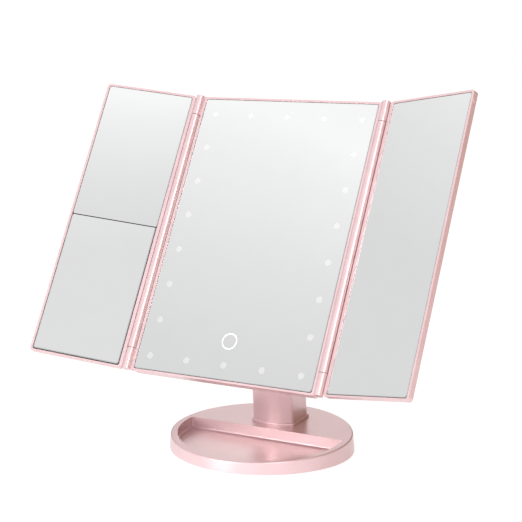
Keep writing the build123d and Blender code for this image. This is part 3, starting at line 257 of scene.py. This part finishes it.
# ---------------------------------------------------------------- materials
def rose_shell():
    """Pearly rose lacquer on moulded plastic: fine flake, slight cloudiness, a clear coat, and
    painted shade in corners and joints.
    """
    material, tree, shader = new_material("rose_lacquer")
    flake = add(tree, "ShaderNodeTexVoronoi", {"Vector": place(tree), "Scale": FLAKE_CELLS})
    sparkle = add(tree, "ShaderNodeSeparateColor", {"Color": flake.outputs["Color"]})
    cloud = noise(tree, scale=45.0, detail=3.0)
    tone = calculate(tree, "MULTIPLY", sparkle.outputs["Red"], FLAKE_SHARE)
    tone = calculate(tree, "MULTIPLY_ADD", cloud, 1.0 - FLAKE_SHARE, tone)
    lacquer = ramp(tree, tone, ((0.25, ROSE), (0.75, ROSE_LIGHT)))
    # painted shade: the deep rose darkens the lacquer where a corner or joint closes it in
    unshaded = openness(tree, PAINTED_SHADE_REACH, PAINTED_SHADE_SPAN)
    link(tree, mix_colour(tree, unshaded, PAINTED_CREASE_SHADE, lacquer), shader, "Base Color")
    link(tree, spread(tree, cloud, *LACQUER_ROUGHNESS), shader, "Roughness")
    grain = noise(tree, scale=2600.0, detail=1.0)
    link(tree, bump(tree, grain, strength=0.12, distance=0.00005), shader, "Normal")
    set_inputs(shader, LACQUER_FINISH)
    return material


def mirror_glass(name, silver, border):
    """Silvered glass: bright metal on its face, with a painted shade border where the bezel lip
    closes it in, and dark ground edges.
    """
    material, tree, shader = new_material(name)
    haze = noise(tree, scale=60.0, detail=4.0)
    front = two_tone(tree, haze, silver, [level + SILVER_CLOUD for level in silver])
    normal = tree.nodes.new("ShaderNodeTexCoord").outputs["Normal"]
    face = calculate(tree, "GREATER_THAN", cosine(tree, normal, GLASS_FACING), FACE_COSINE)
    # painted shade: the face near the bezel lip takes the dark edge colour, leaned to be wider at
    # the lower and right edges
    leaned = combine(tree, "ADD", normal, BORDER_SHADE_LEAN)
    axis = add(tree, "ShaderNodeVectorTransform", {"Vector": leaned}, vector_type="NORMAL",
               convert_from="OBJECT", convert_to="WORLD").outputs["Vector"]
    unshaded_face = calculate(tree, "MULTIPLY", face, openness(tree, BORDER_SHADE_REACH, border, axis))
    link(tree, mix_colour(tree, unshaded_face, GLASS_EDGE_AND_BORDER_SHADE, front), shader, "Base Color")
    link(tree, face, shader, "Metallic")
    link(tree, spread(tree, face, EDGE_ROUGHNESS, FACE_ROUGHNESS), shader, "Roughness")
    return material


def frosted_window():
    """Etched glass spot: white, fine grained and with a faint painted glow."""
    material, tree, shader = new_material("etched_glass")
    grain = noise(tree, scale=4000.0)
    link(tree, two_tone(tree, grain, WINDOW_DARK, WINDOW_LIGHT), shader, "Base Color")
    link(tree, bump(tree, grain, strength=0.05, distance=0.00001), shader, "Normal")
    set_inputs(shader, WINDOW_FINISH)
    set_inputs(shader, PAINTED_GLOW)
    return material


def etched_ring():
    """Ring etched through the silvering of the touch key: white, matt and with a faint painted
    glow.
    """
    material, tree, shader = new_material("etched_ring")
    grain = noise(tree, scale=4000.0)
    link(tree, two_tone(tree, grain, RING_DARK, RING_LIGHT), shader, "Base Color")
    link(tree, spread(tree, grain, *RING_ROUGHNESS), shader, "Roughness")
    set_inputs(shader, PAINTED_GLOW)
    return material


def metal(name, dark, light, streaks, roughness):
    """Machined metal; the streaks stretch its fine lines along each axis."""
    material, tree, shader = new_material(name)
    stretched = add(tree, "ShaderNodeMapping", {"Vector": place(tree), "Scale": streaks})
    inputs = {"Vector": stretched.outputs["Vector"], "Scale": 900.0, "Detail": 2.0}
    lines = add(tree, "ShaderNodeTexNoise", inputs).outputs["Fac"]
    link(tree, two_tone(tree, lines, dark, light), shader, "Base Color")
    link(tree, spread(tree, lines, *roughness), shader, "Roughness")
    link(tree, bump(tree, lines, strength=0.15, distance=0.00003), shader, "Normal")
    set_inputs(shader, {"Metallic": 1.0})
    return material


def plastic(name, dark, light, roughness, grain_scale, grain_strength):
    """Moulded plastic with a spark-eroded grain."""
    material, tree, shader = new_material(name)
    cloud = noise(tree, scale=70.0, detail=3.0)
    grain = noise(tree, scale=grain_scale)
    link(tree, two_tone(tree, cloud, dark, light), shader, "Base Color")
    rough = spread(tree, grain, roughness - PLASTIC_SPREAD, roughness + PLASTIC_SPREAD)
    link(tree, rough, shader, "Roughness")
    link(tree, bump(tree, grain, grain_strength, distance=0.0001), shader, "Normal")
    return material


def circuit_board():
    """Green solder mask with the faint pattern of the tracks under it."""
    material, tree, shader = new_material("solder_mask")
    cells = {"Vector": place(tree), "Scale": 420.0, "Randomness": 0.35}
    voronoi = add(tree, "ShaderNodeTexVoronoi", cells, distance="MANHATTAN")
    tracks = voronoi.outputs["Distance"]
    green = ramp(tree, tracks, ((0.35, MASK_GREEN), (0.5, MASK_DARK)))
    link(tree, green, shader, "Base Color")
    link(tree, bump(tree, tracks, strength=0.1, distance=0.00005), shader, "Normal")
    set_inputs(shader, MASK_FINISH)
    return material


def cell_jacket():
    """Plain foil jacket of the cells, dark with brass-coloured patches."""
    material, tree, shader = new_material("cell_foil")
    cloud = noise(tree, scale=300.0)
    foil = ramp(tree, cloud, ((0.45, JACKET), (0.75, JACKET_BAND)))
    link(tree, foil, shader, "Base Color")
    link(tree, spread(tree, cloud, *JACKET_ROUGHNESS), shader, "Roughness")
    set_inputs(shader, JACKET_FINISH)
    return material


def floor_material():
    """Pale studio sweep that glows softly, like a lit table."""
    material, tree, shader = new_material("studio_sweep")
    fine = noise(tree, scale=12.0)
    tones = [[FLOOR_ALBEDO] * 3, [FLOOR_ALBEDO * FLOOR_CLOUD] * 3]
    link(tree, two_tone(tree, fine, *tones), shader, "Base Color")
    set_inputs(shader, FLOOR_FINISH)
    return material


def slot_materials():
    """Material for each material slot of the record."""
    return {
        "rose_shell": rose_shell(),
        "hinge_metal": metal("cast_alloy", HINGE, STEEL,
                             streaks=(1.0, 1.0, 1.0), roughness=(0.34, 0.46)),
        "grey_plastic": plastic("grey_moulding", GREY, GREY_LIGHT,
                                roughness=0.55, grain_scale=1800.0, grain_strength=0.25),
        "pad_rubber": plastic("pad_rubber", BLACK, RUBBER_LIGHT,
                              roughness=0.82, grain_scale=1200.0, grain_strength=0.5),
        "steel": metal("zinc_steel", STEEL, ZINC_TINT,
                       streaks=(0.12, 1.0, 1.0), roughness=(0.22, 0.36)),
        "circuit_board": circuit_board(),
        "cell_jacket": cell_jacket(),
        "mirror_glass": mirror_glass("silvered_glass", SILVER, THIN_BORDER_SHADE),
        "frosted_window": frosted_window(),
        "white_plastic": plastic("white_moulding", WHITE, WHITE_LIGHT,
                                 roughness=0.5, grain_scale=2200.0, grain_strength=0.15),
        "black_plastic": plastic("black_moulding", BLACK, BLACK_LIGHT,
                                 roughness=0.45, grain_scale=2200.0, grain_strength=0.3),
    }


def dress(node, material):
    """Put one material in every slot of a node."""
    for slot in node.material_slots:
        slot.material = material


def dress_nodes(frame):
    """Give every CAD node the material of its slot, and two of them one of their own."""
    looks = slot_materials()
    for part in frame["record"]["subparts"]:
        dress(frame["nodes"][part["node"]], looks[part["material_slot"]])
    magnifier = mirror_glass("magnifier_glass", SILVER_BRIGHT, WIDE_BORDER_SHADE)
    dress(frame["nodes"]["left_lower_mirror"], magnifier)
    dress(frame["nodes"]["touch_ring"], etched_ring())


# ---------------------------------------------------------------- studio
def direction_to(azimuth, elevation):
    """Unit vector towards an azimuth, counted from the front, and an elevation."""
    return Vector((sin(azimuth) * cos(elevation), -cos(azimuth) * cos(elevation), sin(elevation)))


def add_floor():
    """Floor that fills the view, outside the part."""
    half = FLOOR_HALF_SIZE
    mesh = bpy.data.meshes.new("studio_floor")
    corners = [(-half, -half, 0), (half, -half, 0), (half, half, 0), (-half, half, 0)]
    mesh.from_pydata(corners, [], [(0, 1, 2, 3)])
    mesh.materials.append(floor_material())
    floor = bpy.data.objects.new("studio_floor", mesh)
    bpy.context.scene.collection.objects.link(floor)


def tent_light(tree, direction):
    """Grey of the tent along its axis, sharper round the seam towards the right."""
    along = cosine(tree, direction, TENT_AXIS)
    across = add(tree, "ShaderNodeSeparateXYZ", {"Vector": direction}).outputs["X"]
    sharpness = remap(tree, across, SEAM_SPAN, 1.0, SEAM_SHARPNESS)
    past_seam = calculate(tree, "SUBTRACT", along, SEAM)
    sharpened = calculate(tree, "MULTIPLY_ADD", past_seam, sharpness, SEAM)
    stops = [((spot + 1) / 2, [level / RAMP_TOP] * 3) for spot, level in TENT_STOPS]
    return ramp(tree, remap(tree, sharpened, (-1.0, 1.0)), stops)


def front_light(tree, direction):
    """Level of the low surroundings, from the back to the front, and 1 above them."""
    facing = cosine(tree, direction, direction_to(FRONT_AZIMUTH, 0.0))
    level = ease(tree, facing, FRONT_SPAN, BACK_LEVEL, FRONT_LEVEL)
    height = add(tree, "ShaderNodeSeparateXYZ", {"Vector": direction}).outputs["Z"]
    above = ease(tree, height, LOW_SPAN)
    return add(tree, "ShaderNodeMix", {"Factor": above, "A": level, "B": 1.0}).outputs["Result"]


def screen_tint(tree, direction):
    """White, and tan where the screen stands."""
    facing = cosine(tree, direction, direction_to(SCREEN_AZIMUTH, 0.0))
    return mix_colour(tree, ease(tree, facing, SCREEN_SPAN), PURE_WHITE, SCREEN_TAN)


def add_sky():
    """Light tent round the mirror; the camera itself sees a plain white backdrop."""
    world = bpy.data.worlds.new("studio")
    bpy.context.scene.world = world
    world.use_nodes = True
    tree = world.node_tree
    direction = tree.nodes.new("ShaderNodeTexCoord").outputs["Generated"]
    tent = tent_light(tree, direction)
    strength = calculate(tree, "MULTIPLY", front_light(tree, direction), RAMP_TOP)
    tinted = combine(tree, "MULTIPLY", tent, screen_tint(tree, direction))
    background = tree.nodes["Background"]
    tree.links.new(tinted, background.inputs["Color"])
    tree.links.new(strength, background.inputs["Strength"])
    plain = {"Color": PURE_WHITE, "Strength": BACKDROP_STRENGTH}
    backdrop = add(tree, "ShaderNodeBackground", plain)
    seen = tree.nodes.new("ShaderNodeLightPath").outputs["Is Camera Ray"]
    shaders = {0: seen, 1: background.outputs["Background"], 2: backdrop.outputs["Background"]}
    surface = add(tree, "ShaderNodeMixShader", shaders).outputs["Shader"]
    tree.links.new(surface, tree.nodes["World Output"].inputs["Surface"])


def add_softbox(softbox):
    """Square area light aimed at the middle of the mirror."""
    light = bpy.data.lights.new(softbox.name, "AREA")
    light.color = softbox.colour
    light.size = softbox.size
    light.energy = softbox.watts
    lamp = bpy.data.objects.new(softbox.name, light)
    back = direction_to(radians(softbox.azimuth), radians(softbox.elevation))
    lamp.location = CAMERA_AIM + back * softbox.distance
    lamp.rotation_euler = back.to_track_quat("Z", "Y").to_euler()
    lamp.visible_camera = False
    lamp.visible_glossy = softbox.mirrored
    bpy.context.scene.collection.objects.link(lamp)


def add_camera():
    """Camera at the photographer's place, held level."""
    data = bpy.data.cameras.new("camera")
    data.lens = CAMERA_LENS
    data.sensor_width = CAMERA_SENSOR
    camera = bpy.data.objects.new("camera", data)
    back = direction_to(CAMERA_AZIMUTH, CAMERA_ELEVATION)
    right = Vector((cos(CAMERA_AZIMUTH), sin(CAMERA_AZIMUTH), 0.0))
    turn = Matrix((right, back.cross(right), back)).transposed()
    spot = Matrix.Translation(CAMERA_AIM + back * CAMERA_DISTANCE)
    camera.matrix_world = spot @ turn.to_4x4()
    bpy.context.scene.collection.objects.link(camera)
    bpy.context.scene.camera = camera


# ---------------------------------------------------------------- scene
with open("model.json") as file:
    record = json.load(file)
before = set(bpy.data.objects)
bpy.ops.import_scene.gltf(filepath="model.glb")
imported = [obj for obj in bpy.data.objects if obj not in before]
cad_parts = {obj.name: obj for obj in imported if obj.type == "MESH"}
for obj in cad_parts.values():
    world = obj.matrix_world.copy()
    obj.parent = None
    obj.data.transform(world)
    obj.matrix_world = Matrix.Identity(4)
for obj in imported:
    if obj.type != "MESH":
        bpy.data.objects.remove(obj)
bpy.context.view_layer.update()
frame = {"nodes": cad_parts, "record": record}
add_camera()
dress_nodes(frame)
add_floor()
add_sky()
for softbox in SOFTBOXES:
    add_softbox(softbox)
bpy.context.scene.view_settings.view_transform = "Standard"
